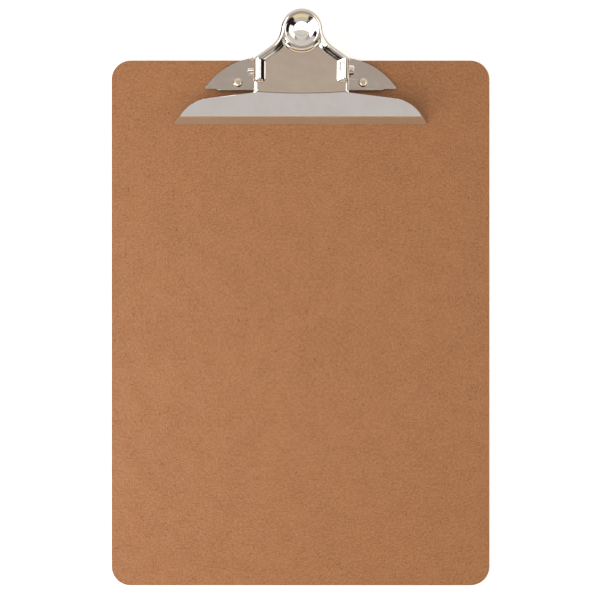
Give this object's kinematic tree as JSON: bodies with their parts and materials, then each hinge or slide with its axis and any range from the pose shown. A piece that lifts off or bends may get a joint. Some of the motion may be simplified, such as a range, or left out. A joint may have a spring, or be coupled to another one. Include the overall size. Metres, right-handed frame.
{
  "type": "clipboard",
  "caption": "Letter-size hardboard clipboard with a plated spring clip: one-piece jaw and thumb lever on a hinge pin, riveted base plate, torsion springs and a hanging hole.",
  "frame": {"origin": "centre of the board's flat back face", "axes": "+X across the board to the right, +Y along the board towards the clip, +Z out of the paper side"},
  "size_m": [0.2286, 0.3459, 0.0342],
  "materials": {
    "hardboard": "smooth pressed fibre face, satin",
    "nickel_clip": "bright nickel plate",
    "nickel_base": "bright nickel plate, slightly hazier",
    "nickel_pin": "nickel-plated turned pin",
    "spring_wire": "plated drawn wire",
    "rivet_metal": "warm nickel-plated rivet",
    "washer_steel": "plain plated washer"
  },
  "bodies": {
    "base": {"board": "hardboard", "base_plate": "nickel_base", "hinge_pin": "nickel_pin", "spring_left": "spring_wire", "spring_right": "spring_wire", "rivet_left": "rivet_metal", "rivet_right": "rivet_metal", "rivet_washer_left": "washer_steel", "rivet_washer_right": "washer_steel"},
    "jaw": {"jaw_plate": "nickel_clip"}
  },
  "joints": [
    {"name": "jaw_pivot", "type": "hinge", "parent": "base", "child": "jaw", "pos_m": [0, 0.15155, 0.0142], "axis": [-1, 0, 0], "range_deg": [0, 42], "stiffness_Nm_per_rad": 0.5, "springref_deg": -57.3, "deforming": ["spring_left", "spring_right"]}
  ]
}
